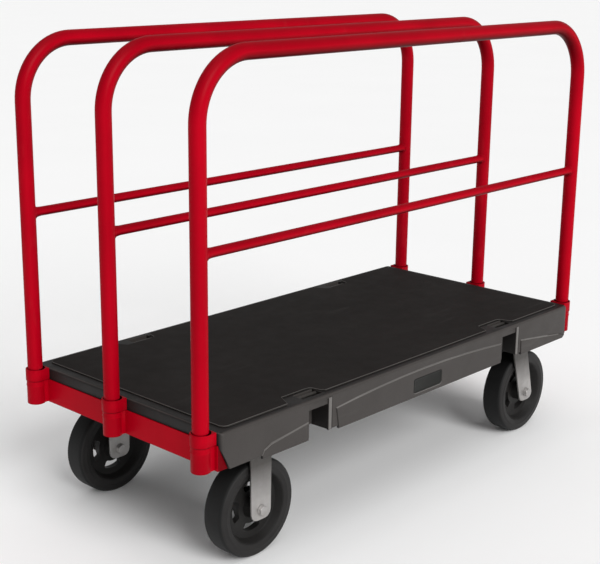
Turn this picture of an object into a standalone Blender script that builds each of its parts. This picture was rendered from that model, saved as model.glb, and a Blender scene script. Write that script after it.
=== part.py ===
"""Panel truck: a moulded deck on four casters with three upright tube rails.

The origin lies on the floor under the middle of the deck. +X runs along the deck
towards the swivel casters, +Y runs across it, and +Z is up. Sizes are in metres.
"""
import math

import bmesh
import bpy
from mathutils import Matrix, Vector

# General fits
GAP = 0.0003              # between pieces that touch
RUNNING_GAP = 0.0010      # between a turning piece and a fixed one
BITE = 0.0010             # how far joined solids run into each other
PAST = 0.0100             # how far a cutter runs past the faces it opens
HOLE_END = 0.0020         # room beyond a bolt's end in a blind hole

# Facets
CORNER_STEPS = 4
BOLT_SIDES = 8
PIN_SIDES = 12
CROSS_BAR_SIDES = 10
TUBE_SIDES = 14
SOCKET_SIDES = 16
CROWN_SIDES = 18
WHEEL_SIDES = 24
BEND_STEPS = 5

# Deck shell
DECK_LENGTH = 1.196
DECK_WIDTH = 0.570
DECK_TOP = 0.309
SKIRT_BOTTOM = 0.2345
SKIRT_WALL = 0.005
DECK_SKIN = 0.006
DECK_CORNER = 0.012       # radius of the upright corners
DECK_EDGE = 0.006         # radius of the top edge
RIB = 0.004
END_WALL = 0.032          # the thick end wall that the studs pass through
END_SLOPE_TOP = 0.2815    # where the sloping foot of the end wall begins
END_SLOPE_RUN = 0.023     # how far the end wall slopes in
CORNER_CUT = 0.010        # small cut at the foot of the right-hand side skirts

# Raised side panels of the skirts, with a foot lower than the skirt
PANEL_BOTTOM = 0.2280
PANEL_PROUD = 0.0020
PANEL_ROOT = 0.0045       # how far the panels reach back into the skirt
PANEL_CHAMFER = 0.0018
PANEL_CHAMFER_DEPTH = 0.0016
LEFT_PANEL_SET = (0.108, 0.238)    # its two ends, from the deck's left end
LEFT_PANEL_RISE = (0.2530, 0.2660)
LEFT_NOSE_RUN = 0.0220    # length of the left panel's rounded nose
LEFT_NOSE_STEP = 0.0060
LEFT_NOSE_DROP = 0.0070
MID_PANEL_SET = (0.320, 0.290)     # its ends, from the deck's left and right ends
MID_PANEL_RISE = (0.2745, 0.2885)
MID_PANEL_LEAN = 0.0080   # slant of the middle panel's left edge
MID_PANEL_STEPS = 8
RIGHT_PANEL_SET = (0.208, 0.038)   # its two ends, from the deck's right end
RIGHT_PANEL_RISE = (0.2650, 0.2440)
RIGHT_PANEL_LEAN = 0.0020
RIGHT_TAIL_RUN = 0.0500   # length over which the right panel's top edge falls away
RIGHT_TAIL_DROP = 0.0060
RIGHT_FOOT_RUN = 0.0180
PILLAR_WIDTH = 0.011
PILLAR_EDGE = 0.0006      # how far a pillar's edges stand out
PILLAR_PROUD = 0.0018     # how far its middle stands out
PILLAR_STEPS = 4

# Tie-down pockets: a hole in the deck's top that opens through the skirt below
POCKET_SET = (0.268, 0.258)        # middle of each pocket, from the deck's left and right ends
POCKET_LENGTH = 0.056
POCKET_INNER_INSET = 0.0445        # pocket's inner wall, in from the side of the deck
POCKET_OUTER_INSET = 0.0170
NOTCH_TOP = 0.2885
NOTCH_SETBACK = 0.0020
NOTCH_LIP = 0.0030        # skirt of full depth left above the setback
POCKET_WALL = 0.005
ROD_DIAMETER = 0.008
ROD_INSET = 0.0355
ROD_Z = 0.3035
ROD_BITE = 0.006          # how far each rod end sits in the wall
ROD_TURN = 22.5           # degrees; puts a flat of the rod on top

# Top panel
PAD_MARGINS = (0.0230, 0.0170)     # bare deck left at the ends and at the sides
PAD_THICKNESS = 0.003
PAD_CORNER = 0.014
CUTAWAY_INSET = 0.0495    # cutaways' inner edge, in from the side of the deck
CUTAWAY_START = 0.0440    # where a cutaway leaves the panel's edge, left of the pocket
CUTAWAY_STRAIGHT = 0.0270 # where its straight inner edge begins
CUTAWAY_SWING = 0.0120    # radius and run of the S-bend at its right end
CUTAWAY_NECK = (0.0030, 0.0080)

# Blank name plates in the middle of the side skirts
BADGE_X = 0.0245
BADGE_LENGTH = 0.100
BADGE_BOTTOM = 0.2375
BADGE_HEIGHT = 0.0335
BADGE_DEPTH = 0.0025
BADGE_THICKNESS = 0.0018
BADGE_CORNER = 0.0050
BADGE_FIT = 0.0006

# End bars and rail sockets
BAR_BOTTOM = 0.2345
BAR_HEIGHT = 0.0508
BAR_WALL = 0.0024
BAR_INSET = 0.00525       # how far a bar's ends stay in from the deck's sides
STUD_DIAMETER = 0.008
STUD_Z = 0.264
STUD_REACH = 0.012        # bare stud beyond the end wall
NUT_HEIGHT = 0.0065
NUT_WIDTH = 0.013
SOCKET_WALL = 0.002525
SOCKET_HEIGHT = 0.0762
SOCKET_FLOOR = 0.003
SOCKET_DRAIN = 0.004
COLLAR_PROUD = 0.0013

# Rails
RAIL_INSET = 0.0304       # outer rails' axes, in from the deck's sides
RAIL_TOP = 0.9877         # height of the top run's axis
RAIL_BEND = 0.120
RAIL_TUBE = 0.03175
RAIL_WALL = 0.0018
RAIL_FIT = 0.0006         # radial room of a rail leg in its socket
CROSS_BAR_TUBE = 0.01905
CROSS_BAR_WALL = 0.0015
CROSS_BAR_HEIGHT = 0.6419
CROSS_BAR_FLARE = 0.0115
CROSS_BAR_FLARE_LENGTH = 0.014

# Wheels
WHEEL_RADIUS = 0.1016
WHEEL_WIDTH = 0.0508
WHEEL_INSET = 0.0682      # middle of a wheel, in from the deck's side
TYRE_INNER = 0.0740
TYRE_SHOULDER = 0.007
TYRE_LIP = 0.0030         # slant from the rim out to the side wall
HUB_RIM_FACE = 0.0235     # half width of the hub's rim
HUB_WEB = 0.0070          # half thickness of the spoked web
HUB_RIM_INNER = 0.0660
HUB_BOSS = 0.0230
BOSS_PROUD = 0.0035       # boss past the tyre's side wall
WINDOW_COUNT = 4
WINDOW_INNER = 0.0360
WINDOW_OUTER = 0.0530
WINDOW_SPAN = 58          # degrees at the outer edge
WINDOW_TAPER = 0.72       # inner edge's angle as a share of the outer one
WHEEL_TURN = {"rigid": 0.0, "swivel": 22.5}  # how far the windows are turned, in degrees
BEARING_RADIUS = 0.0135
AXLE_DIAMETER = 0.0127
AXLE_HEAD = 0.0190
AXLE_HEAD_HEIGHT = 0.0075
AXLE_NUT_HEIGHT = 0.0100
AXLE_END = 0.0030         # bolt end past the nut

# Casters
CASTER_HEIGHT = 0.2413    # floor to the deck's caster pads
PLATE_LENGTH = 0.1143
PLATE_WIDTH = 0.1000
PLATE_THICKNESS = 0.0050
PLATE_CORNER = 0.0100
PLATE_HOLE_X = 0.0460
PLATE_HOLE_Y = 0.0375
BOLT_DIAMETER = 0.008
BOLT_REACH = 0.024
BOLT_HEAD_WIDTH = 0.013
BOLT_HEAD_HEIGHT = 0.0055
BOLT_ROOM = 0.0005        # radial room round the caster bolts
PAD_MARGIN = 0.008
FORK_WALL = 0.0050
FORK_LEG = 0.0535
FORK_LEG_FOOT = 0.0205    # leg's reach below the axle
FORK_CORNER = 0.0160
FORK_SPREAD = 0.0020      # extra half width at the top of a leg
SWIVEL_LEG_SET = 0.0020   # top of a swivel leg's middle, ahead of the kingpin
HUB_END_PLAY = 0.0010
RIGID_SET = 0.141         # rigid casters' middle, from the deck's left end
SWIVEL_SET = 0.153        # kingpins, from the deck's right end
SWIVEL_TRAIL = 0.037
CROWN_TOP = 0.2280
CROWN_THICKNESS = 0.0060
CROWN_RADIUS = 0.0400
RACE_RADIUS = 0.0330
RACE_BORE = 0.0230
RACE_CHAMFER = 0.0025
KINGPIN_DIAMETER = 0.0140
KINGPIN_HEAD = 0.0230
KINGPIN_HEAD_HEIGHT = 0.0070
KINGPIN_NUT_HEIGHT = 0.0080
KINGPIN_END = 0.0020      # pin above its nut
KINGPIN_ROOM = 0.0020     # room round the nut in the deck's caster pad

# Values that follow from the driving sizes
HALF_LENGTH = DECK_LENGTH / 2
HALF_WIDTH = DECK_WIDTH / 2
LEFT_PANEL = (-HALF_LENGTH + LEFT_PANEL_SET[0], -HALF_LENGTH + LEFT_PANEL_SET[1])
MID_PANEL = (-HALF_LENGTH + MID_PANEL_SET[0], HALF_LENGTH - MID_PANEL_SET[1])
RIGHT_PANEL = (HALF_LENGTH - RIGHT_PANEL_SET[0], HALF_LENGTH - RIGHT_PANEL_SET[1])
POCKET_X = (-HALF_LENGTH + POCKET_SET[0], HALF_LENGTH - POCKET_SET[1])
POCKET_INNER = HALF_WIDTH - POCKET_INNER_INSET
POCKET_OUTER = HALF_WIDTH - POCKET_OUTER_INSET
ROD_Y = HALF_WIDTH - ROD_INSET
CUTAWAY_INNER = HALF_WIDTH - CUTAWAY_INSET
PAD_HALF_LENGTH = HALF_LENGTH - PAD_MARGINS[0]
PAD_HALF_WIDTH = HALF_WIDTH - PAD_MARGINS[1]
RIGID_X = -HALF_LENGTH + RIGID_SET
SWIVEL_X = HALF_LENGTH - SWIVEL_SET
WHEEL_Y = HALF_WIDTH - WHEEL_INSET
RAIL_PITCH = HALF_WIDTH - RAIL_INSET
STUD_Y = RAIL_PITCH / 2
SOCKET_BORE = RAIL_TUBE / 2 + RAIL_FIT
SOCKET_RADIUS = SOCKET_BORE + SOCKET_WALL
COLLAR_RADIUS = SOCKET_RADIUS + COLLAR_PROUD
BAR_FACE = HALF_LENGTH + GAP + BAR_WALL
RAIL_X = BAR_FACE + GAP + SOCKET_RADIUS
SOCKET_TOP = BAR_BOTTOM + SOCKET_HEIGHT
RAIL_FOOT = BAR_BOTTOM + SOCKET_FLOOR + GAP
AXLE_HEIGHT = WHEEL_RADIUS
HUB_LENGTH = WHEEL_WIDTH + 2 * BOSS_PROUD
FORK_INSIDE = HUB_LENGTH / 2 + HUB_END_PLAY
FORK_OUTSIDE = FORK_INSIDE + FORK_WALL
PLATE_BOTTOM = CASTER_HEIGHT - PLATE_THICKNESS
PAD_BOTTOM = CASTER_HEIGHT + GAP
KINGPIN_TOP = CASTER_HEIGHT + KINGPIN_NUT_HEIGHT + KINGPIN_END
SIDES = (("near", -1), ("far", 1))
ENDS = (("left", -1), ("right", 1))
ROWS = (("near", -1), ("mid", 0), ("far", 1))


def clear_scene():
    for item in list(bpy.data.objects):
        bpy.data.objects.remove(item, do_unlink=True)


def make_material(name, colour, roughness, metallic):
    material = bpy.data.materials.new(name)
    material.use_nodes = True
    shader = material.node_tree.nodes["Principled BSDF"]
    shader.inputs["Base Color"].default_value = (*colour, 1.0)
    shader.inputs["Roughness"].default_value = roughness
    shader.inputs["Metallic"].default_value = metallic
    return material


def add_object(name, bm, material=None, parent=None, place=(0, 0, 0), smooth=None):
    """Turn a bmesh into an object; its mesh is local to place, under parent."""
    bmesh.ops.recalc_face_normals(bm, faces=bm.faces)
    mesh = bpy.data.meshes.new(name)
    bm.to_mesh(mesh)
    bm.free()
    if smooth:
        mesh.shade_smooth()
        mesh.set_sharp_from_angle(angle=math.radians(smooth))
    item = bpy.data.objects.new(name, mesh)
    bpy.context.scene.collection.objects.link(item)
    if material:
        mesh.materials.append(material)
    item.parent = parent
    item.location = place
    return item


def add_pivot(name, place, parent=None):
    pivot = bpy.data.objects.new(name, None)
    bpy.context.scene.collection.objects.link(pivot)
    pivot.parent = parent
    pivot.location = place
    return pivot


def boolean(target, tool, operation):
    """Cut or join with a hidden tool object that stays in the scene as a guide."""
    tool.hide_render = True
    tool.display_type = "WIRE"
    tool.hide_set(True)
    modifier = target.modifiers.new(tool.name, "BOOLEAN")
    modifier.object = tool
    modifier.operation = operation
    modifier.solver = "EXACT"


def merge(parts):
    """Copy several bmeshes into one and free them."""
    whole = bmesh.new()
    for part in parts:
        copies = {vert: whole.verts.new(vert.co) for vert in part.verts}
        for face in part.faces:
            whole.faces.new([copies[vert] for vert in face.verts])
        part.free()
    return whole


def moved(bm, offset=(0, 0, 0), turn=None):
    if turn is not None:
        bmesh.ops.transform(bm, matrix=turn, verts=bm.verts)
    bmesh.ops.translate(bm, vec=Vector(offset), verts=bm.verts)
    return bm


def box(x, y, z):
    """Box from (low, high) pairs along each axis."""
    bm = bmesh.new()
    bmesh.ops.create_cube(bm, size=1.0)
    for vert in bm.verts:
        vert.co.x = x[1] if vert.co.x > 0 else x[0]
        vert.co.y = y[1] if vert.co.y > 0 else y[0]
        vert.co.z = z[1] if vert.co.z > 0 else z[0]
    return bm


def prism(outline, low, high, axis="z"):
    """Extrude a closed outline; for axis y it is drawn in x and z."""
    bm = bmesh.new()
    if axis == "z":
        verts = [bm.verts.new((a, b, low)) for a, b in outline]
        step = (0, 0, high - low)
    else:
        verts = [bm.verts.new((a, low, b)) for a, b in outline]
        step = (0, high - low, 0)
    face = bm.faces.new(verts)
    grown = bmesh.ops.extrude_face_region(bm, geom=[face])
    tops = [item for item in grown["geom"] if isinstance(item, bmesh.types.BMVert)]
    bmesh.ops.translate(bm, vec=Vector(step), verts=tops)
    return bm


def arc(centre, radius, start, end, steps):
    """Points on an arc, both ends included; angles in degrees."""
    points = []
    for step in range(steps + 1):
        angle = math.radians(start + (end - start) * step / steps)
        x = centre[0] + radius * math.cos(angle)
        points.append((x, centre[1] + radius * math.sin(angle)))
    return points


def rounded_rectangle(half_x, half_y, radius, steps):
    points = []
    for start, sign_x, sign_y in ((0, 1, 1), (90, -1, 1), (180, -1, -1), (270, 1, -1)):
        centre = (sign_x * (half_x - radius), sign_y * (half_y - radius))
        points += arc(centre, radius, start, start + 90, steps)
    return points


def rod(radius, low, high, sides, axis="z", first=0.0):
    """Plain round or many-sided bar between two heights on its own axis."""
    outline = arc((0, 0), radius, first, first + 360 * (sides - 1) / sides, sides - 1)
    return prism(outline, low, high, axis)


def hexagon(width, low, high, axis="z"):
    return rod(width / 2 / math.cos(math.radians(30)), low, high, 6, axis)


def turned(profile, sides, axis="y"):
    """Spin a closed (radius, height) outline round the y or z axis."""
    bm = bmesh.new()
    if axis == "y":
        verts = [bm.verts.new((radius, height, 0)) for radius, height in profile]
        spin_axis = (0, 1, 0)
    else:
        verts = [bm.verts.new((radius, 0, height)) for radius, height in profile]
        spin_axis = (0, 0, 1)
    edges = [bm.edges.new((verts[i - 1], verts[i])) for i in range(len(verts))]
    bmesh.ops.spin(bm, geom=verts + edges, cent=(0, 0, 0), axis=spin_axis,
                   dvec=(0, 0, 0), angle=math.tau, steps=sides, use_merge=True)
    return bm


def swept_tube(frames, outer, inner, sides):
    """Hollow tube through (centre, outward) frames that share the y axis."""
    bm = bmesh.new()
    rings = []
    for centre, outward in frames:
        ring = []
        for radius in (outer, inner):
            loop = []
            for side in range(sides):
                angle = math.tau * side / sides
                offset = outward * math.cos(angle) + Vector((0, math.sin(angle), 0))
                loop.append(bm.verts.new(centre + offset * radius))
            ring.append(loop)
        rings.append(ring)
    for before, after in zip(rings, rings[1:]):
        for skin in (0, 1):
            for side in range(sides):
                other = (side + 1) % sides
                bm.faces.new((before[skin][side], before[skin][other],
                              after[skin][other], after[skin][side]))
    for ring in (rings[0], rings[-1]):
        for side in range(sides):
            other = (side + 1) % sides
            bm.faces.new((ring[0][side], ring[0][other], ring[1][other], ring[1][side]))
    return bm


# ---- Deck ----

def deck_body():
    """Solid block with rounded upright corners and a rounded top edge."""
    outline = rounded_rectangle(HALF_LENGTH, HALF_WIDTH, DECK_CORNER, CORNER_STEPS)
    bm = prism(outline, SKIRT_BOTTOM, DECK_TOP)
    rim = [edge for edge in bm.edges if all(v.co.z > DECK_TOP - GAP for v in edge.verts)]
    bmesh.ops.bevel(bm, geom=rim, offset=DECK_EDGE, segments=2, profile=0.5,
                    affect="EDGES", clamp_overlap=True)
    return bm


def side_panel_outlines():
    """The three raised panels of a side skirt, drawn in x and z."""
    left, right = LEFT_PANEL
    low, high = LEFT_PANEL_RISE
    foot = PANEL_BOTTOM
    nose = (left + LEFT_NOSE_STEP, low - LEFT_NOSE_DROP)
    yield [(left, foot), (left, SKIRT_BOTTOM), nose, (left + LEFT_NOSE_RUN, low),
           (right, high), (right, foot)]
    left, right = MID_PANEL
    low, high = MID_PANEL_RISE
    middle = (left + right) / 2
    half = (right - left) / 2
    crown = []
    for step in range(MID_PANEL_STEPS + 1):
        x = left + (right - left) * step / MID_PANEL_STEPS
        crown.append((x, high - (high - low) * ((x - middle) / half) ** 2))
    yield [(left + MID_PANEL_LEAN, foot)] + crown + [(right, foot)]
    left, right = RIGHT_PANEL
    high, low = RIGHT_PANEL_RISE
    tail = (right - RIGHT_TAIL_RUN, low + RIGHT_TAIL_DROP)
    yield [(left + RIGHT_PANEL_LEAN, foot), (left, high), tail, (right, low),
           (HALF_LENGTH - CORNER_CUT - BITE, SKIRT_BOTTOM + BITE), (HALF_LENGTH - RIGHT_FOOT_RUN, foot)]


def side_additions():
    """Panels and notch pillars of both skirts, to be joined to the deck body."""
    parts = []
    for _, sign in SIDES:
        inner = sign * (HALF_WIDTH - PANEL_ROOT)
        outer = sign * (HALF_WIDTH + PANEL_PROUD)
        for outline in side_panel_outlines():
            part = prism(outline, inner, outer, "y")
            front = [f for f in part.faces if abs(f.normal.y) > 0.9
                     and abs(f.calc_center_median().y - outer) < GAP]
            bmesh.ops.recalc_face_normals(part, faces=part.faces)
            bmesh.ops.inset_region(part, faces=front, thickness=PANEL_CHAMFER, depth=0.0)
            for vert in part.verts:
                on_front = any(f in front for f in vert.link_faces)
                if abs(vert.co.y - outer) < GAP and not on_front:
                    vert.co.y -= sign * PANEL_CHAMFER_DEPTH
            parts.append(part)
        for pocket in POCKET_X:
            right = pocket + POCKET_LENGTH / 2 + PILLAR_WIDTH
            flat = [(right, sign * (HALF_WIDTH - SKIRT_WALL / 2)),
                    (right - PILLAR_WIDTH, sign * (HALF_WIDTH - SKIRT_WALL / 2))]
            bow = []
            for step in range(PILLAR_STEPS + 1):
                share = step / PILLAR_STEPS
                lift = PILLAR_PROUD - (PILLAR_PROUD - PILLAR_EDGE) * (2 * share - 1) ** 2
                x = right - PILLAR_WIDTH * (1 - share)
                bow.append((x, sign * (HALF_WIDTH + lift)))
            parts.append(prism(flat + bow, SKIRT_BOTTOM - BITE, DECK_TOP - DECK_EDGE))
    return merge(parts)


def deck_cells():
    """The hollows under the deck, with ribs, pads and pocket walls left between."""
    inner = HALF_WIDTH - SKIRT_WALL
    roof = DECK_TOP - DECK_SKIN
    low = PANEL_BOTTOM - PAST
    rigid = (RIGID_X - PLATE_LENGTH / 2 - PAD_MARGIN, RIGID_X + PLATE_LENGTH / 2 + PAD_MARGIN)
    swivel = (SWIVEL_X - PLATE_LENGTH / 2 - PAD_MARGIN, SWIVEL_X + PLATE_LENGTH / 2 + PAD_MARGIN)
    between_pads = WHEEL_Y - PLATE_WIDTH / 2 - PAD_MARGIN
    beside_pocket = POCKET_INNER - POCKET_WALL
    before = POCKET_X[0] + POCKET_LENGTH / 2 + POCKET_WALL
    after = POCKET_X[1] - POCKET_LENGTH / 2 - POCKET_WALL
    middle = (before + after) / 2
    bays = [
        (-HALF_LENGTH + END_WALL, rigid[0], inner),
        (rigid[0] + RIB, rigid[1], between_pads),
        (rigid[1] + RIB, before - RIB, beside_pocket),
        (before, middle - RIB, inner),
        (middle, after, inner),
        (after + RIB, swivel[0] - RIB, beside_pocket),
        (swivel[0], swivel[1] - RIB, between_pads),
        (swivel[1], HALF_LENGTH - END_WALL, inner),
    ]
    parts = []
    for x_low, x_high, reach in bays:
        parts.append(box((x_low, x_high), (-reach, -RIB / 2), (low, roof)))
        parts.append(box((x_low, x_high), (RIB / 2, reach), (low, roof)))
    # The pads stop level with the caster plates' top faces.
    for x_low, x_high in (rigid, swivel):
        pad = (x_low + RIB, x_high - RIB)
        for _, sign in SIDES:
            y = sorted((sign * (between_pads + RIB), sign * inner))
            parts.append(box(pad, y, (low, PAD_BOTTOM)))
    return merge(parts)


def deck_openings():
    """Pockets in the deck's top with the notches that open them to the sides."""
    parts = []
    low = PANEL_BOTTOM - PAST
    outside = HALF_WIDTH + PAST
    high = DECK_TOP + PAST
    for pocket in POCKET_X:
        x = (pocket - POCKET_LENGTH / 2, pocket + POCKET_LENGTH / 2)
        for _, sign in SIDES:
            shaft = [(POCKET_INNER, low), (outside, low), (outside, NOTCH_TOP),
                     (POCKET_OUTER, NOTCH_TOP), (POCKET_OUTER, high), (POCKET_INNER, high)]
            bm = bmesh.new()
            verts = [bm.verts.new((x[0], sign * y, z)) for y, z in shaft]
            grown = bmesh.ops.extrude_face_region(bm, geom=[bm.faces.new(verts)])
            tops = [v for v in grown["geom"] if isinstance(v, bmesh.types.BMVert)]
            bmesh.ops.translate(bm, vec=(x[1] - x[0], 0, 0), verts=tops)
            bmesh.ops.recalc_face_normals(bm, faces=bm.faces)
            parts.append(bm)
    return merge(parts)


def deck_holes():
    """Round holes: caster bolts from below, studs from the ends, rod seats."""
    parts = []
    for centre_x in (RIGID_X, SWIVEL_X):
        for _, sign in SIDES:
            for hole_x, hole_y in plate_holes(centre_x, sign):
                hole = rod(BOLT_DIAMETER / 2 + BOLT_ROOM, PAD_BOTTOM - PAST,
                           CASTER_HEIGHT + BOLT_REACH + HOLE_END, BOLT_SIDES)
                parts.append(moved(hole, (hole_x, hole_y, 0)))
    for _, sign in SIDES:
        nut = rod(KINGPIN_HEAD / 2 / math.cos(math.radians(30)) + KINGPIN_ROOM,
                  PAD_BOTTOM - PAST, KINGPIN_TOP + KINGPIN_ROOM, PIN_SIDES)
        parts.append(moved(nut, (SWIVEL_X, sign * WHEEL_Y, 0)))
    turn = Matrix.Rotation(math.radians(90), 4, "Y")
    for _, end in ENDS:
        for y in (-STUD_Y, STUD_Y):
            span = sorted((end * (HALF_LENGTH - END_WALL - PAST), end * (HALF_LENGTH + PAST)))
            hole = rod(STUD_DIAMETER / 2 + BOLT_ROOM, *span, BOLT_SIDES)
            parts.append(moved(hole, (0, y, STUD_Z), turn))
    for pocket in POCKET_X:
        reach = POCKET_LENGTH / 2 + ROD_BITE + GAP
        for _, sign in SIDES:
            seat = rod(ROD_DIAMETER / 2 + GAP, pocket - reach, pocket + reach, BOLT_SIDES,
                       first=ROD_TURN)
            parts.append(moved(seat, (0, sign * ROD_Y, ROD_Z), turn))
    return merge(parts)


def deck_trims():
    """Sloping feet of both end walls."""
    parts = []
    low = PANEL_BOTTOM - PAST
    run = END_SLOPE_RUN
    # The left end slopes over its whole width; on the right the skirts run on past it.
    for _, end in ENDS:
        reach = HALF_WIDTH + PAST if end < 0 else HALF_WIDTH - SKIRT_WALL
        outside = HALF_LENGTH + PAST
        outline = [(end * outside, END_SLOPE_TOP), (end * HALF_LENGTH, END_SLOPE_TOP),
                   (end * (HALF_LENGTH - run), SKIRT_BOTTOM), (end * (HALF_LENGTH - run), low),
                   (end * outside, low)]
        parts.append(prism(outline, -reach, reach, "y"))
    return merge(parts)


def skirt_trims():
    """Setbacks above the notches, name plate recesses and the right-hand corner cuts."""
    parts = []
    for _, sign in SIDES:
        face = sign * HALF_WIDTH
        for pocket in POCKET_X:
            y = sorted((face - sign * NOTCH_SETBACK, face + sign * PAST))
            parts.append(box((pocket - POCKET_LENGTH / 2, pocket + POCKET_LENGTH / 2),
                             y, (NOTCH_TOP - BITE, DECK_TOP - DECK_EDGE - NOTCH_LIP)))
        front = face + sign * PANEL_PROUD
        y = sorted((front - sign * BADGE_DEPTH, front + sign * PAST))
        parts.append(prism(badge_outline(0.0), *y, "y"))
        cut = [(HALF_LENGTH - CORNER_CUT, SKIRT_BOTTOM - BITE),
               (HALF_LENGTH + BITE, SKIRT_BOTTOM + CORNER_CUT),
               (HALF_LENGTH + PAST, SKIRT_BOTTOM - BITE)]
        y = sorted((sign * (HALF_WIDTH - SKIRT_WALL - BITE), sign * (HALF_WIDTH + PAST)))
        parts.append(prism(cut, *y, "y"))
    return merge(parts)


def badge_outline(shrink):
    half = BADGE_LENGTH / 2 - shrink
    tall = BADGE_HEIGHT / 2 - shrink
    outline = rounded_rectangle(half, tall, BADGE_CORNER - shrink / 2, 2)
    centre_z = BADGE_BOTTOM + BADGE_HEIGHT / 2
    return [(x + BADGE_X, z + centre_z) for x, z in outline]


def plate_holes(centre_x, sign):
    for step_x in (-1, 1):
        for step_y in (-1, 1):
            yield centre_x + step_x * PLATE_HOLE_X, sign * WHEEL_Y + step_y * PLATE_HOLE_Y


def build_deck(plastic, pad_plastic, dark_steel):
    shell = add_object("deck_shell", deck_body(), plastic, smooth=35)
    boolean(shell, add_object("guide_side_additions", side_additions()), "UNION")
    boolean(shell, add_object("guide_deck_trims", deck_trims()), "DIFFERENCE")
    boolean(shell, add_object("guide_skirt_trims", skirt_trims()), "DIFFERENCE")
    boolean(shell, add_object("guide_deck_cells", deck_cells()), "DIFFERENCE")
    boolean(shell, add_object("guide_deck_openings", deck_openings()), "DIFFERENCE")
    boolean(shell, add_object("guide_deck_holes", deck_holes()), "DIFFERENCE")
    build_top_panel(pad_plastic)
    for name, sign in SIDES:
        seat = HALF_WIDTH + PANEL_PROUD - BADGE_DEPTH + GAP
        y = sorted((sign * seat, sign * (seat + BADGE_THICKNESS)))
        plate = prism(badge_outline(BADGE_FIT), *y, "y")
        add_object("name_plate_" + name, plate, pad_plastic)
    turn = Matrix.Rotation(math.radians(90), 4, "Y")
    reach = POCKET_LENGTH / 2 + ROD_BITE
    for end, pocket in zip(("left", "right"), POCKET_X):
        for name, sign in SIDES:
            piece = rod(ROD_DIAMETER / 2, -reach, reach, BOLT_SIDES, first=ROD_TURN)
            add_object("tie_rod_" + end + "_" + name, moved(piece, turn=turn), dark_steel,
                       place=(pocket, sign * ROD_Y, ROD_Z), smooth=50)


def cutaway(pocket, sign):
    """Outline of the top panel's cutaway round a pocket: straight, then an S-bend."""
    edge = PAD_HALF_WIDTH
    start = pocket - POCKET_LENGTH / 2 - CUTAWAY_START
    straight = pocket - POCKET_LENGTH / 2 - CUTAWAY_STRAIGHT
    right = pocket + POCKET_LENGTH / 2
    swing = CUTAWAY_SWING
    points = [(start, edge + PAST), (start, edge), (straight, CUTAWAY_INNER)]
    points += arc((right - swing, CUTAWAY_INNER + swing), swing, -90, -20, 3)
    points += [(right + CUTAWAY_NECK[0], edge - CUTAWAY_NECK[1]), (right + swing, edge),
               (right + swing, edge + PAST)]
    return [(x, sign * y) for x, y in points]


def build_top_panel(material):
    outline = rounded_rectangle(PAD_HALF_LENGTH, PAD_HALF_WIDTH, PAD_CORNER, CORNER_STEPS)
    low = DECK_TOP + GAP
    pad = add_object("top_panel", prism(outline, low, low + PAD_THICKNESS), material, smooth=35)
    cuts = []
    for pocket in POCKET_X:
        for _, sign in SIDES:
            cut = prism(cutaway(pocket, sign), low - PAST, low + PAD_THICKNESS + PAST)
            bmesh.ops.recalc_face_normals(cut, faces=cut.faces)
            cuts.append(cut)
    boolean(pad, add_object("guide_panel_cuts", merge(cuts)), "DIFFERENCE")


# ---- End bars, sockets and rails ----

def build_end_bar(name, end, paint, zinc):
    """Wedge-shaped channel: web, foot flange and closed ends, with studs inside."""
    web = HALF_LENGTH + GAP
    foot = web - END_SLOPE_RUN
    top = BAR_BOTTOM + BAR_HEIGHT
    half = HALF_WIDTH - BAR_INSET
    wedge = [(BAR_FACE, BAR_BOTTOM), (foot, BAR_BOTTOM), (web, END_SLOPE_TOP), (web, top),
             (BAR_FACE, top)]
    body = prism([(end * x, z) for x, z in wedge], -half, half, "y")
    bar = add_object("end_bar_" + name, body, paint)
    x = sorted((end * web, end * (foot - PAST)))
    hollow = box(x, (-half + BAR_WALL, half - BAR_WALL), (BAR_BOTTOM + BAR_WALL, top + PAST))
    boolean(bar, add_object("guide_bar_hollow_" + name, hollow), "DIFFERENCE")
    turn = Matrix.Rotation(math.radians(90), 4, "Y")
    tip = HALF_LENGTH - END_WALL - STUD_REACH
    studs = []
    for row, side in SIDES:
        reach = sorted((end * tip, end * (web + BAR_WALL / 2)))
        place = (0, side * STUD_Y, STUD_Z)
        studs.append(moved(rod(STUD_DIAMETER / 2, *reach, BOLT_SIDES), place, turn))
        seat = HALF_LENGTH - END_WALL - GAP
        span = sorted((end * seat, end * (seat - NUT_HEIGHT)))
        nut = add_object("bar_nut_" + name + "_" + row,
                         moved(hexagon(NUT_WIDTH, *span), turn=turn), zinc, place=place)
        bore = rod(STUD_DIAMETER / 2 + GAP, span[0] - PAST, span[1] + PAST, BOLT_SIDES)
        boolean(nut, add_object("guide_bar_nut_" + name + "_" + row, moved(bore, turn=turn),
                                place=place), "DIFFERENCE")
    boolean(bar, add_object("guide_studs_" + name, merge(studs)), "UNION")


def build_socket(name, end, y, paint):
    """Round sleeve with a U-shaped collar that reaches over the bar to the deck."""
    split = BAR_BOTTOM + BAR_HEIGHT + GAP
    back = RAIL_X - HALF_LENGTH - 2 * GAP
    front = arc((0, 0), COLLAR_RADIUS, 90, -90, 8)
    outline = [(-back, COLLAR_RADIUS)] + front + [(-back, -COLLAR_RADIUS)]
    collar = prism([(end * a, b) for a, b in outline], split, SOCKET_TOP)
    body = rod(SOCKET_RADIUS, BAR_BOTTOM, split + BITE, SOCKET_SIDES)
    place = (end * RAIL_X, y, 0)
    socket = add_object("socket_" + name, collar, paint, place=place, smooth=40)
    boolean(socket, add_object("guide_sleeve_" + name, body, place=place), "UNION")
    bore = rod(SOCKET_BORE, BAR_BOTTOM + SOCKET_FLOOR, SOCKET_TOP + PAST, SOCKET_SIDES)
    boolean(socket, add_object("guide_bore_" + name, bore, place=place), "DIFFERENCE")
    drain = rod(SOCKET_DRAIN, BAR_BOTTOM - PAST, BAR_BOTTOM + SOCKET_FLOOR + PAST, BOLT_SIDES)
    boolean(socket, add_object("guide_drain_" + name, drain, place=place), "DIFFERENCE")


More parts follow.
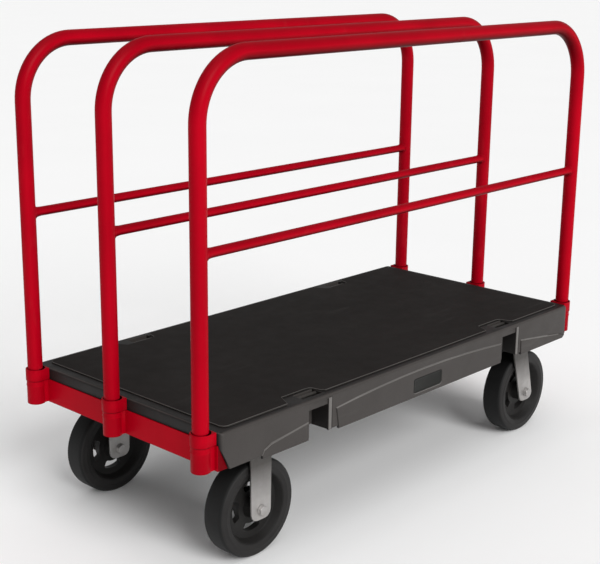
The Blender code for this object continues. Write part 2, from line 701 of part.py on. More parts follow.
def rail_frames(y):
    """Frames along the rail's axis: up one leg, over the top and down the other."""
    corner = RAIL_TOP - RAIL_BEND
    reach = RAIL_X - RAIL_BEND
    frames = [(Vector((-RAIL_X, y, RAIL_FOOT)), Vector((-1, 0, 0)))]
    for end, start in ((-1, 180), (1, 90)):
        for step in range(BEND_STEPS + 1):
            angle = math.radians(start - 90 * step / BEND_STEPS)
            outward = Vector((math.cos(angle), 0, math.sin(angle)))
            frames.append((Vector((end * reach, y, corner)) + outward * RAIL_BEND, outward))
    frames.append((Vector((RAIL_X, y, RAIL_FOOT)), Vector((1, 0, 0))))
    return frames


def build_rail(name, row, paint):
    y = row * RAIL_PITCH
    pivot = add_pivot("pivot_rail_" + name, (0, y, RAIL_FOOT))
    tube = swept_tube(rail_frames(y), RAIL_TUBE / 2, RAIL_TUBE / 2 - RAIL_WALL, TUBE_SIDES)
    moved(tube, (0, -y, -RAIL_FOOT))
    add_object("rail_" + name, tube, paint, parent=pivot, smooth=40)
    build_cross_bar(name, pivot, paint)


def build_cross_bar(name, pivot, paint):
    """Straight tube with flared ends that are hollowed to fit the legs."""
    outer = CROSS_BAR_TUBE / 2
    inner = outer - CROSS_BAR_WALL
    flare = RAIL_X - RAIL_TUBE / 2
    profile = [(inner, -RAIL_X), (CROSS_BAR_FLARE, -RAIL_X), (CROSS_BAR_FLARE, -flare),
               (outer, -flare + CROSS_BAR_FLARE_LENGTH), (outer, flare - CROSS_BAR_FLARE_LENGTH),
               (CROSS_BAR_FLARE, flare), (CROSS_BAR_FLARE, RAIL_X), (inner, RAIL_X)]
    bar = turned(profile, CROSS_BAR_SIDES, "z")
    moved(bar, turn=Matrix.Rotation(math.radians(90), 4, "Y"))
    height = CROSS_BAR_HEIGHT - RAIL_FOOT
    bar_object = add_object("cross_bar_" + name, bar, paint, parent=pivot,
                            place=(0, 0, height), smooth=40)
    legs = []
    beyond = []
    reach = (-RAIL_TUBE, RAIL_TUBE)
    for _, end in ENDS:
        leg = rod(RAIL_TUBE / 2 + GAP, *reach, SOCKET_SIDES)
        legs.append(moved(leg, (end * RAIL_X, 0, 0)))
        x = sorted((end * RAIL_X, end * (RAIL_X + RAIL_TUBE)))
        beyond.append(box(x, reach, reach))
    place = (0, 0, height)
    leg_guide = add_object("guide_leg_" + name, merge(legs), parent=pivot, place=place)
    boolean(bar_object, leg_guide, "DIFFERENCE")
    beyond_guide = add_object("guide_beyond_" + name, merge(beyond), parent=pivot, place=place)
    boolean(bar_object, beyond_guide, "DIFFERENCE")


# ---- Wheels and casters ----

def tyre_profile():
    half = WHEEL_WIDTH / 2
    shoulder = TYRE_SHOULDER
    rim = TYRE_INNER + GAP
    side = [(rim, HUB_RIM_FACE), (rim + TYRE_LIP, half), (WHEEL_RADIUS - shoulder, half),
            (WHEEL_RADIUS, half - shoulder)]
    return side + [(radius, -height) for radius, height in reversed(side)]


def hub_profile():
    boss = HUB_LENGTH / 2
    bore = BEARING_RADIUS + GAP
    half = [(bore, boss), (HUB_BOSS, boss), (HUB_BOSS, HUB_WEB),
            (HUB_RIM_INNER, HUB_WEB), (TYRE_INNER, HUB_RIM_FACE)]
    return half + [(radius, -height) for radius, height in reversed(half)]


def window_outline(centre):
    half = WINDOW_SPAN / 2
    outer = arc((0, 0), WINDOW_OUTER, centre - half, centre + half, 4)
    half *= WINDOW_TAPER
    return outer + arc((0, 0), WINDOW_INNER, centre + half, centre - half, 1)


def build_wheel(name, place, parent, materials):
    """Rubber tyre, spoked hub and bearing sleeve, turning about their y axis."""
    pivot = add_pivot("pivot_wheel_" + name, place, parent)
    add_object("tyre_" + name, turned(tyre_profile(), WHEEL_SIDES), materials["rubber"],
               parent=pivot, smooth=35)
    hub = add_object("hub_" + name, turned(hub_profile(), WHEEL_SIDES), materials["hub"],
                     parent=pivot, smooth=35)
    turn = WHEEL_TURN[name.split("_")[0]]
    windows = []
    for count in range(WINDOW_COUNT):
        outline = window_outline(turn + 360 * count / WINDOW_COUNT)
        windows.append(prism(outline, -WHEEL_WIDTH, WHEEL_WIDTH, "y"))
    for window in windows:
        bmesh.ops.recalc_face_normals(window, faces=window.faces)
    boolean(hub, add_object("guide_windows_" + name, merge(windows), parent=pivot), "DIFFERENCE")
    sleeve = HUB_LENGTH / 2 - GAP
    bore = AXLE_DIAMETER / 2 + RUNNING_GAP / 2
    ring = [(bore, -sleeve), (BEARING_RADIUS, -sleeve), (BEARING_RADIUS, sleeve), (bore, sleeve)]
    add_object("bearing_" + name, turned(ring, PIN_SIDES), materials["steel"], parent=pivot,
               smooth=40)


def build_axle(name, place, parent, material):
    """Hex bolt through both fork legs with a nut on the far end."""
    length = FORK_OUTSIDE + GAP
    head = -length - AXLE_HEAD_HEIGHT
    nut = length + AXLE_NUT_HEIGHT
    bolt = add_object("axle_bolt_" + name, hexagon(AXLE_HEAD, head, -length, "y"), material,
                      parent=parent, place=place)
    shank = rod(AXLE_DIAMETER / 2, head + AXLE_HEAD_HEIGHT / 2, nut + AXLE_END, PIN_SIDES, "y")
    boolean(bolt, add_object("guide_shank_" + name, shank, parent=parent, place=place), "UNION")
    ring = add_object("axle_nut_" + name, hexagon(AXLE_HEAD, length, nut, "y"), material,
                      parent=parent, place=place)
    bore = rod(AXLE_DIAMETER / 2 + GAP, length - PAST, nut + PAST, PIN_SIDES, "y")
    boolean(ring, add_object("guide_nut_" + name, bore, parent=parent, place=place), "DIFFERENCE")


def build_plate(name, place, material):
    """Caster top plate with its four bolts, whose shanks stand in the deck's pad."""
    outline = rounded_rectangle(PLATE_LENGTH / 2, PLATE_WIDTH / 2, PLATE_CORNER, 1)
    plate = add_object(name, prism(outline, PLATE_BOTTOM, CASTER_HEIGHT), material,
                       place=place, smooth=35)
    heads = []
    shanks = []
    for x in (-PLATE_HOLE_X, PLATE_HOLE_X):
        for y in (-PLATE_HOLE_Y, PLATE_HOLE_Y):
            head = hexagon(BOLT_HEAD_WIDTH, PLATE_BOTTOM - BOLT_HEAD_HEIGHT, PLATE_BOTTOM + GAP)
            heads.append(moved(head, (x, y, 0)))
            shank = rod(BOLT_DIAMETER / 2, CASTER_HEIGHT - GAP, CASTER_HEIGHT + BOLT_REACH,
                        BOLT_SIDES)
            shanks.append(moved(shank, (x, y, 0)))
    boolean(plate, add_object("guide_heads_" + name, merge(heads), place=place), "UNION")
    boolean(plate, add_object("guide_shanks_" + name, merge(shanks), place=place), "UNION")
    return plate


def leg_outline(top_x, top_z, foot_x):
    """Fork leg drawn in x and z: full width at the top, rounded round the axle."""
    half = FORK_LEG / 2
    low = AXLE_HEIGHT - FORK_LEG_FOOT
    corner = FORK_CORNER
    right = arc((foot_x + half - corner, low + corner), corner, 0, -90, 3)
    left = arc((foot_x - half + corner, low + corner), corner, -90, -180, 3)
    half += FORK_SPREAD
    return [(top_x - half, top_z), (top_x + half, top_z)] + right + left


def fork_legs(outline):
    legs = []
    for sign in (-1, 1):
        y = sorted((sign * FORK_INSIDE, sign * FORK_OUTSIDE))
        legs.append(prism(outline, *y, "y"))
    return merge(legs)


def fork_bore():
    reach = FORK_OUTSIDE + PAST
    return rod(AXLE_DIAMETER / 2 + GAP, -reach, reach, PIN_SIDES, "y")


def build_rigid_caster(name, sign, materials):
    place = (RIGID_X, sign * WHEEL_Y, 0)
    fork = build_plate("rigid_fork_" + name, place, materials["zinc"])
    legs = fork_legs(leg_outline(0, PLATE_BOTTOM + PLATE_THICKNESS / 2, 0))
    boolean(fork, add_object("guide_rigid_legs_" + name, legs, place=place), "UNION")
    axle = (RIGID_X, sign * WHEEL_Y, AXLE_HEIGHT)
    bore = add_object("guide_rigid_bore_" + name, fork_bore(), place=axle)
    boolean(fork, bore, "DIFFERENCE")
    build_axle("rigid_" + name, axle, None, materials["zinc"])
    build_wheel("rigid_" + name, axle, None, materials)


def build_swivel_caster(name, sign, materials):
    place = (SWIVEL_X, sign * WHEEL_Y, 0)
    plate = build_plate("swivel_plate_" + name, place, materials["zinc"])
    hole = rod(KINGPIN_DIAMETER / 2 + GAP, PLATE_BOTTOM - PAST, CASTER_HEIGHT + PAST, PIN_SIDES)
    boolean(plate, add_object("guide_pin_hole_" + name, hole, place=place), "DIFFERENCE")
    race_low = CROWN_TOP + RUNNING_GAP / 2
    ring = [(RACE_BORE, race_low), (RACE_RADIUS - RACE_CHAMFER, race_low),
            (RACE_RADIUS, race_low + RACE_CHAMFER), (RACE_RADIUS, PLATE_BOTTOM - GAP),
            (RACE_BORE, PLATE_BOTTOM - GAP)]
    add_object("swivel_race_" + name, turned(ring, SOCKET_SIDES, "z"), materials["steel"],
               place=place, smooth=35)
    # The kingpin hangs in the plate: its head is below the crown, its nut above the plate.
    head_top = CROWN_TOP - CROWN_THICKNESS - RUNNING_GAP / 2
    pin = add_object("kingpin_" + name, hexagon(KINGPIN_HEAD, head_top - KINGPIN_HEAD_HEIGHT,
                     head_top), materials["zinc"], place=place)
    shank = rod(KINGPIN_DIAMETER / 2, head_top - KINGPIN_HEAD_HEIGHT / 2, KINGPIN_TOP, PIN_SIDES)
    boolean(pin, add_object("guide_kingpin_" + name, shank, place=place), "UNION")
    nut = add_object("kingpin_nut_" + name, hexagon(KINGPIN_HEAD, CASTER_HEIGHT + GAP,
                     CASTER_HEIGHT + KINGPIN_NUT_HEIGHT), materials["zinc"], place=place)
    bore = rod(KINGPIN_DIAMETER / 2 + GAP, CASTER_HEIGHT - PAST, KINGPIN_TOP + PAST, PIN_SIDES)
    boolean(nut, add_object("guide_kingpin_nut_" + name, bore, place=place), "DIFFERENCE")
    build_swivel_fork(name, place, materials)


def build_swivel_fork(name, place, materials):
    pivot = add_pivot("pivot_swivel_" + name, place)
    crown_low = CROWN_TOP - CROWN_THICKNESS
    crown = rod(CROWN_RADIUS, crown_low, CROWN_TOP, CROWN_SIDES)
    fork = add_object("swivel_fork_" + name, crown, materials["zinc"], parent=pivot, smooth=35)
    outline = leg_outline(SWIVEL_LEG_SET, crown_low + CROWN_THICKNESS / 2, SWIVEL_TRAIL)
    legs = add_object("guide_swivel_legs_" + name, fork_legs(outline), parent=pivot)
    boolean(fork, legs, "UNION")
    axle = (SWIVEL_TRAIL, 0, AXLE_HEIGHT)
    bore = add_object("guide_swivel_bore_" + name, fork_bore(), parent=pivot, place=axle)
    boolean(fork, bore, "DIFFERENCE")
    hole = rod(KINGPIN_DIAMETER / 2 + RUNNING_GAP / 2, crown_low - PAST, CROWN_TOP + PAST,
               PIN_SIDES)
    boolean(fork, add_object("guide_crown_hole_" + name, hole, parent=pivot), "DIFFERENCE")
    build_axle("swivel_" + name, axle, pivot, materials["zinc"])
    build_wheel("swivel_" + name, axle, pivot, materials)


def build_all():
    clear_scene()
    materials = {
        "paint": make_material("red_paint", (0.436, 0.0, 0.013), 0.35, 0.0),
        "plastic": make_material("deck_plastic", (0.072, 0.065, 0.061), 0.55, 0.0),
        "pad": make_material("top_panel_plastic", (0.020, 0.017, 0.016), 0.75, 0.0),
        "zinc": make_material("zinc_steel", (0.49, 0.46, 0.44), 0.38, 0.9),
        "steel": make_material("plain_steel", (0.30, 0.29, 0.28), 0.35, 1.0),
        "rubber": make_material("tyre_rubber", (0.018, 0.019, 0.019), 0.8, 0.0),
        "hub": make_material("hub_plastic", (0.022, 0.020, 0.020), 0.6, 0.0),
    }
    build_deck(materials["plastic"], materials["pad"], materials["steel"])
    for name, end in ENDS:
        build_end_bar(name, end, materials["paint"], materials["zinc"])
        for row_name, row in ROWS:
            build_socket(name + "_" + row_name, end, row * RAIL_PITCH, materials["paint"])
    for name, row in ROWS:
        build_rail(name, row, materials["paint"])
    for name, sign in SIDES:
        build_rigid_caster(name, sign, materials)
        build_swivel_caster(name, sign, materials)


build_all()
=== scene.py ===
import math

import bpy
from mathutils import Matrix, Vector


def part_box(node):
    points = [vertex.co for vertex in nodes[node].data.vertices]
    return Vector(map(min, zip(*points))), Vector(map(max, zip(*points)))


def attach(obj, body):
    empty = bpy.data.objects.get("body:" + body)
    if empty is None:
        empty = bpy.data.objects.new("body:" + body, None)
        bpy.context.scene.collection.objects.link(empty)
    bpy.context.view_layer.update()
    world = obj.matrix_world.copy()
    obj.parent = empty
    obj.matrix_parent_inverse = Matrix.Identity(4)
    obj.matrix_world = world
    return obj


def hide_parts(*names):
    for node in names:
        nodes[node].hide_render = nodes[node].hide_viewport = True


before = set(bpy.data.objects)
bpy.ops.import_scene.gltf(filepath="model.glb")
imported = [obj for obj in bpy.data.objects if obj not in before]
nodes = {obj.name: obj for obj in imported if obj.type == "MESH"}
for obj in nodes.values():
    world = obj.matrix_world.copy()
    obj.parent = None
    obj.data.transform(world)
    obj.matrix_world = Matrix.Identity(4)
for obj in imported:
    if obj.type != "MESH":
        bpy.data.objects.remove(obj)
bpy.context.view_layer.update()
rowNames = ("near", "mid", "far")
sideNames = ("near", "far")
endNames = ("left", "right")
print("frame loaded:", len(nodes), "nodes")


def clearPick():
    if bpy.context.mode != "OBJECT":
        bpy.ops.object.mode_set(mode="OBJECT")
    bpy.ops.object.select_all(action="DESELECT")


def pick(piece):
    clearPick()
    piece.select_set(True)
    bpy.context.view_layer.objects.active = piece


def begin(name, operator, **settings):
    # adds a primitive and puts its place and turn into its mesh
    clearPick()
    operator(**settings)
    piece = bpy.context.object
    piece.name = name
    piece.data.name = name
    bpy.ops.object.transform_apply(location=True, rotation=True, scale=True)
    return piece


def choose(piece, kind, test):
    # selects the vertices, edges or faces that pass the test, and stays in edit mode
    pick(piece)
    bpy.ops.object.mode_set(mode="EDIT")
    bpy.ops.mesh.select_mode(type=kind)
    bpy.ops.mesh.select_all(action="DESELECT")
    bpy.ops.object.mode_set(mode="OBJECT")
    mesh = piece.data
    if kind == "FACE":
        for face in mesh.polygons:
            face.select = test(face.center, face.normal)
    elif kind == "EDGE":
        for edge in mesh.edges:
            first, second = (mesh.vertices[i].co for i in edge.vertices)
            edge.select = test(first, second)
    else:
        for vertex in mesh.vertices:
            vertex.select = test(vertex.co)
    bpy.ops.object.mode_set(mode="EDIT")


def modify(piece, kind, **settings):
    pick(piece)
    modifier = piece.modifiers.new(kind.title(), kind)
    for key, value in settings.items():
        setattr(modifier, key, value)
    bpy.ops.object.modifier_apply(modifier=modifier.name)


def combine(piece, other, operation="DIFFERENCE"):
    modify(piece, "BOOLEAN", object=other, operation=operation, solver="EXACT")
    bpy.data.objects.remove(other, do_unlink=True)


def roundEdges(piece, width, segments=2, angle=35, edgeSlot=-1):
    modify(piece, "BEVEL", width=width, segments=segments, limit_method="ANGLE",
           angle_limit=math.radians(angle), use_clamp_overlap=False, harden_normals=False,
           material=edgeSlot, miter_outer="MITER_ARC")


def turnOut(piece):
    pick(piece)
    bpy.ops.object.mode_set(mode="EDIT")
    bpy.ops.mesh.select_all(action="SELECT")
    bpy.ops.mesh.remove_doubles(threshold=0.00002)
    bpy.ops.mesh.normals_make_consistent(inside=False)
    bpy.ops.object.mode_set(mode="OBJECT")


def copyNode(node, name):
    # a merged copy of a CAD node, ready to have its edges rounded
    piece = bpy.data.objects.new(name, nodes[node].data.copy())
    bpy.context.scene.collection.objects.link(piece)
    piece.data.materials.clear()
    pick(piece)
    bpy.ops.object.mode_set(mode="EDIT")
    bpy.ops.mesh.select_all(action="SELECT")
    bpy.ops.mesh.remove_doubles(threshold=0.00002)
    bpy.ops.object.mode_set(mode="OBJECT")
    return piece


def copyPiece(piece, name, move):
    twin = bpy.data.objects.new(name, piece.data.copy())
    bpy.context.scene.collection.objects.link(twin)
    twin.location = move
    pick(twin)
    bpy.ops.object.transform_apply(location=True, rotation=True, scale=True)
    return twin


def finished(piece, body, materials, replaced=(), angle=32, evenFaces=False):
    if not piece.data.materials:
        for material in materials:
            piece.data.materials.append(material)
    pick(piece)
    bpy.ops.object.shade_smooth_by_angle(angle=math.radians(angle))
    if evenFaces:
        # keeps the shading of large flat faces flat beside their rounded edges
        modify(piece, "WEIGHTED_NORMAL", mode="FACE_AREA", weight=100, keep_sharp=True)
    clearPick()
    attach(piece, body)
    if replaced:
        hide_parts(*replaced)


class Wire:
    # one socket of a material, so that shader maths is written as sums
    def __init__(self, shader, socket):
        self.shader = shader
        self.socket = socket

    def maths(self, operation, first, second):
        return self.shader.add("Math", {"operation": operation}, {0: first, 1: second})

    def __add__(self, other):
        return self.maths("ADD", self, other)

    def __radd__(self, other):
        return self.maths("ADD", other, self)

    def __sub__(self, other):
        return self.maths("SUBTRACT", self, other)

    def __rsub__(self, other):
        return self.maths("SUBTRACT", other, self)

    def __mul__(self, other):
        return self.maths("MULTIPLY", self, other)

    def __rmul__(self, other):
        return self.maths("MULTIPLY", other, self)


class Shader:
    def __init__(self, name, **fixed):
        self.material = bpy.data.materials.new(name)
        self.material.use_nodes = True
        self.tree = self.material.node_tree
        self.surface = self.tree.nodes["Principled BSDF"]
        for socket, value in fixed.items():
            self.surface.inputs[socket.replace("_", " ")].default_value = value

    def add(self, kind, settings=None, sockets=None, out=0):
        node = self.tree.nodes.new("ShaderNode" + kind)
        for key, value in (settings or {}).items():
            setattr(node, key, value)
        for key, value in (sockets or {}).items():
            if isinstance(value, Wire):
                self.tree.links.new(value.socket, node.inputs[key])
            else:
                node.inputs[key].default_value = value
        return Wire(self, node.outputs[out])

    def place(self, stretch=(1, 1, 1)):
        spot = self.add("TexCoord", out="Object")
        if stretch == (1, 1, 1):
            return spot
        return self.add("Mapping", sockets={"Vector": spot, "Scale": stretch})

    def noise(self, scale, detail=3, stretch=(1, 1, 1), distortion=0.0):
        return self.add("TexNoise", sockets={"Vector": self.place(stretch), "Scale": scale,
                                             "Detail": detail, "Distortion": distortion})

    def cells(self, scale, feature="F1", stretch=(1, 1, 1)):
        return self.add("TexVoronoi", {"feature": feature},
                        {"Vector": self.place(stretch), "Scale": scale}, out="Distance")

    def along(self, output, axis):
        # one axis of the object's own coordinates or normals
        spot = self.add("TexCoord", out=output)
        return self.add("SeparateXYZ", sockets={"Vector": spot}, out=axis)

    def span(self, wire, low, high, toLow=0.0, toHigh=1.0):
        # stretches a band of values over another, and holds it at both ends
        return self.add("MapRange", {"clamp": True}, {"Value": wire, "From Min": low, "From Max": high,
                                                      "To Min": toLow, "To Max": toHigh})

    def blend(self, factor, first, second):
        return self.add("Mix", {"data_type": "RGBA"}, {0: factor, 6: first, 7: second}, out=2)

    def feed(self, **wires):
        for socket, wire in wires.items():
            self.tree.links.new(wire.socket, self.surface.inputs[socket.replace("_", " ")])

    def relief(self, height, strength, depth):
        self.feed(Normal=self.add("Bump", sockets={"Height": height, "Strength": strength,
                                                   "Distance": depth}))


def colour(red, green, blue):
    return (red, green, blue, 1.0)


# the darkest colour here is a painted shade, and the underside share sets how much of it faces turned
# down get
paintLook = {"colour": colour(0.46, 0.0003, 0.010), "shade": colour(0.37, 0.0002, 0.0080),
             "dust": colour(0.44, 0.012, 0.020), "paintedShadeColour": colour(0.055, 0.0002, 0.0015),
             "undersideShadeShare": 0.92, "gloss": 0.32, "cloudGloss": 0.10, "rubGloss": 0.14, "rubPale": 0.35}


def redPaint(name, sides=0.0, endShadeShare=0.0, topShadeShare=0.0):
    shader = Shader(name, Coat_Weight=0.01, Coat_Roughness=0.20, Specular_IOR_Level=0.03)
    cloud = shader.noise(5.0, 4)
    peel = shader.noise(420.0, 2)
    scuff = shader.noise(60.0, 5, (1, 1, 0.25))
    rub = shader.span(scuff * shader.noise(9.0, 2), 0.36, 0.44)
    base = shader.blend(shader.span(cloud, 0.35, 0.65), paintLook["shade"], paintLook["colour"])
    base = shader.blend(rub * paintLook["rubPale"], base, paintLook["dust"])
    # painted shade: undersides stay dark, and sides (faces turned along Y), ends and tops darken the
    # faces turned those ways
    upright = shader.along("Normal", "Z")
    undersideShade = shader.span(upright, 0.02, -0.80) * paintLook["undersideShadeShare"]
    topShade = shader.span(upright, 0.0, 0.70) * topShadeShare
    across = shader.along("Normal", "Y")
    sideShade = shader.span(across * across, 0.55, 0.90) * sides
    lengthways = shader.along("Normal", "X")
    endShade = shader.span(lengthways * lengthways, 0.30, 0.95) * endShadeShare
    paintedShade = shader.add("Math", {"operation": "MAXIMUM"}, {0: undersideShade, 1: sideShade + endShade + topShade})
    base = shader.blend(paintedShade, base, paintLook["paintedShadeColour"])
    rough = (paintLook["gloss"] + shader.span(cloud, 0.3, 0.7) * paintLook["cloudGloss"]
             + rub * paintLook["rubGloss"])
    shader.feed(Base_Color=base, Roughness=rough)
    shader.relief(peel + scuff * 0.3, 0.10, 0.0006)
    return shader.material


plasticLooks = {
    "deckPlastic": {"base": colour(0.040, 0.0355, 0.0330), "streak": colour(0.048, 0.0425, 0.0400),
                    "pale": colour(0.082, 0.076, 0.071), "rough": 0.46, "grain": 520.0, "depth": 0.22,
                    # painted shade colour for the deck's top and its left end
                    "paintedShadeTone": colour(0.0120, 0.0108, 0.0102)},
    # painted highlight: a pale colour for edges where light catches the rounded deck edges
    "deckHighlight": {"base": colour(0.125, 0.118, 0.112), "streak": colour(0.150, 0.142, 0.135),
                 "pale": colour(0.21, 0.20, 0.19), "rough": 0.36, "grain": 520.0, "depth": 0.12},
    "panelPlastic": {"base": colour(0.0135, 0.0118, 0.0112), "streak": colour(0.0165, 0.0146, 0.0138),
                     "pale": colour(0.030, 0.028, 0.026), "rough": 0.70, "grain": 640.0, "depth": 0.26,
                     "sheen": 0.06},
    # painted highlight: a lighter colour on the top panel's rounded edge, where it catches light
    "panelHighlight": {"base": colour(0.060, 0.056, 0.053), "streak": colour(0.074, 0.069, 0.066),
                  "pale": colour(0.11, 0.104, 0.098), "rough": 0.46, "grain": 640.0, "depth": 0.12},
    "platePlastic": {"base": colour(0.0050, 0.0051, 0.0042), "streak": colour(0.0070, 0.0072, 0.0059),
                     "pale": colour(0.014, 0.0145, 0.0125), "rough": 0.40, "grain": 700.0, "depth": 0.12},
    "hubPlastic": {"base": colour(0.0085, 0.0078, 0.0074), "streak": colour(0.0110, 0.0102, 0.0098),
                   "pale": colour(0.028, 0.0265, 0.0250), "rough": 0.48, "grain": 460.0, "depth": 0.16}}


def mouldedPlastic(name, base, streak, pale, rough, grain, depth, sheen=0.22, paintedShadeTone=None):
    # structural foam: soft swirls, a fine leathery grain and pale rub marks
    shader = Shader(name, Specular_IOR_Level=sheen)
    swirl = shader.noise(3.2, 5, distortion=1.4)
    speck = shader.cells(grain)
    fine = shader.noise(grain * 1.7, 3)
    patch = shader.noise(26.0, 4)
    rub = shader.noise(14.0, 6, (0.35, 3.0, 3.0))
    marks = shader.span(rub * shader.noise(3.0, 2), 0.33, 0.42)
    shade = shader.blend(shader.span(swirl, 0.36, 0.64), base, streak)
    shade = shader.blend(shader.span(speck, 0.0, 0.75) * 0.22, shade, pale)
    shade = shader.blend(marks * 0.30, shade, pale)
    if paintedShadeTone:
        # painted shade: the flat top and the left end are painted darker than the side skirts
        top = shader.span(shader.along("Normal", "Z"), 0.90, 0.995)
        end = shader.span(shader.along("Normal", "X"), -0.45, -0.92)
        shade = shader.blend(shader.add("Math", {"operation": "MAXIMUM"}, {0: top, 1: end}), shade, paintedShadeTone)
    gloss = rough + shader.span(patch, 0.3, 0.7) * 0.12 - marks * 0.08
    shader.feed(Base_Color=shade, Roughness=gloss)
    shader.relief(speck * 0.7 + fine * 0.5 + patch * 0.4, depth, 0.0007)
    return shader.material


metalLooks = {
    "zinc": {"bright": colour(0.50, 0.485, 0.475), "dull": colour(0.36, 0.345, 0.335), "rough": 0.42,
             "streakAlong": (6.0, 6.0, 0.6)},
    "steel": {"bright": colour(0.21, 0.20, 0.195), "dull": colour(0.13, 0.125, 0.12), "rough": 0.40,
              "streakAlong": (1.0, 1.0, 8.0)}}
# real stains, and a painted shade colour that darkens the zinc towards the deck
stainAndShade = {"stain": colour(0.20, 0.185, 0.165), "stainShare": 0.35, "dustAndShade": colour(0.070, 0.065, 0.060),
         "shadeShare": 0.88, "shadeFrom": 0.125, "shadeTo": 0.198}


def zincSteel(name, bright, dull, rough, streakAlong):
    shader = Shader(name, Specular_IOR_Level=0.5)
    streak = shader.noise(9.0, 5, streakAlong)
    spangle = shader.cells(140.0)
    cloud = shader.noise(16.0, 4)
    stain = shader.span(shader.noise(34.0, 5), 0.56, 0.72)
    tone = shader.blend(shader.span(cloud + streak * 0.5, 0.50, 0.95), dull, bright)
    tone = shader.blend(stain * stainAndShade["stainShare"], tone, stainAndShade["stain"])
    # painted shade: the zinc darkens towards the deck, where the deck shades it
    dustAndShade = shader.span(shader.along("Object", "Z"), stainAndShade["shadeFrom"], stainAndShade["shadeTo"])
    tone = shader.blend(dustAndShade * stainAndShade["shadeShare"], tone, stainAndShade["dustAndShade"])
    gloss = rough + shader.span(spangle, 0.0, 0.8) * 0.08 + stain * 0.14 + streak * 0.10
    shader.feed(Base_Color=tone, Roughness=gloss, Metallic=0.92 - stain * 0.35)
    shader.relief(streak + spangle * 0.25, 0.10, 0.0005)
    return shader.material


rubberLooks = {
    "tread": {"base": colour(0.0036, 0.0037, 0.0038), "dust": colour(0.0085, 0.0085, 0.0082),
              "rough": 0.60},
    "sideWall": {"base": colour(0.0110, 0.0100, 0.0097), "dust": colour(0.0190, 0.0178, 0.0170),
                 "rough": 0.52}}


def rubber(name, base, dust, rough):
    shader = Shader(name, Specular_IOR_Level=0.28)
    cloud = shader.noise(22.0, 5)
    grit = shader.noise(520.0, 3)
    pits = shader.cells(330.0)
    dustAndShade = shader.span(cloud, 0.45, 0.70)
    tone = shader.blend(dustAndShade * 0.6, base, dust)
    tone = shader.blend(shader.span(grit, 0.62, 0.75) * 0.25, tone, dust)
    shader.feed(Base_Color=tone, Roughness=rough + dustAndShade * 0.10)
    shader.relief(grit * 0.6 + pits * 0.5, 0.16, 0.0006)
    return shader.material


# painted shade: the frame paint darkens its ends and tops, and the end-bar paint darkens its sides and
# tops
paint = redPaint("redPaint", endShadeShare=0.20, topShadeShare=0.42)
barPaint = redPaint("barPaint", sides=0.75, topShadeShare=0.42)
deckPlastic, deckHighlight, panelPlastic, panelHighlight, platePlastic, hubPlastic = (
    mouldedPlastic(name, **look) for name, look in plasticLooks.items())
zinc, steel = (zincSteel(name, **look) for name, look in metalLooks.items())
tread, sideWall = (rubber(name, **look) for name, look in rubberLooks.items())
print("materials made")


railParts = {"tubeRadius": 0.015875, "wall": 0.0018, "bendRadius": 0.120, "sides": 40, "bendSteps": 20,
             "barRadius": 0.009525, "barSides": 32, "barReach": 0.6, "flareLength": 0.014,
             "flareCuts": (0.0, 0.45, 0.9), "cutSlack": 0.05, "flareMiddle": 1.07, "flare": 1.20,
             "weldProud": 0.0022, "weldTall": 0.05, "weldRound": 0.0016}


def railTube(row):
    low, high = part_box("rail_" + row)
    radius = railParts["tubeRadius"]
    bend = railParts["bendRadius"]
    legX = high.x - radius
    y = (low.y + high.y) / 2
    springZ = high.z - radius - bend
    piece = begin("railTube_" + row, bpy.ops.mesh.primitive_circle_add, vertices=railParts["sides"],
                  radius=radius, location=(-legX, y, low.z))
    choose(piece, "EDGE", lambda a, b: True)
    bpy.ops.mesh.extrude_region_move(TRANSFORM_OT_translate={"value": (0, 0, springZ - low.z)})
    for side in (-1, 1):
        bpy.ops.mesh.spin(steps=railParts["bendSteps"], angle=math.radians(-90), axis=(0, 1, 0),
                          center=(side * (legX - bend), y, springZ))
        travel = (2 * (legX - bend), 0, 0) if side < 0 else (0, 0, low.z - springZ)
        bpy.ops.mesh.extrude_region_move(TRANSFORM_OT_translate={"value": travel})
    turnOut(piece)
    modify(piece, "SOLIDIFY", thickness=railParts["wall"], offset=-1)
    finished(piece, "rail_" + row + "_body", [paint], ["rail_" + row])
    return legX, y


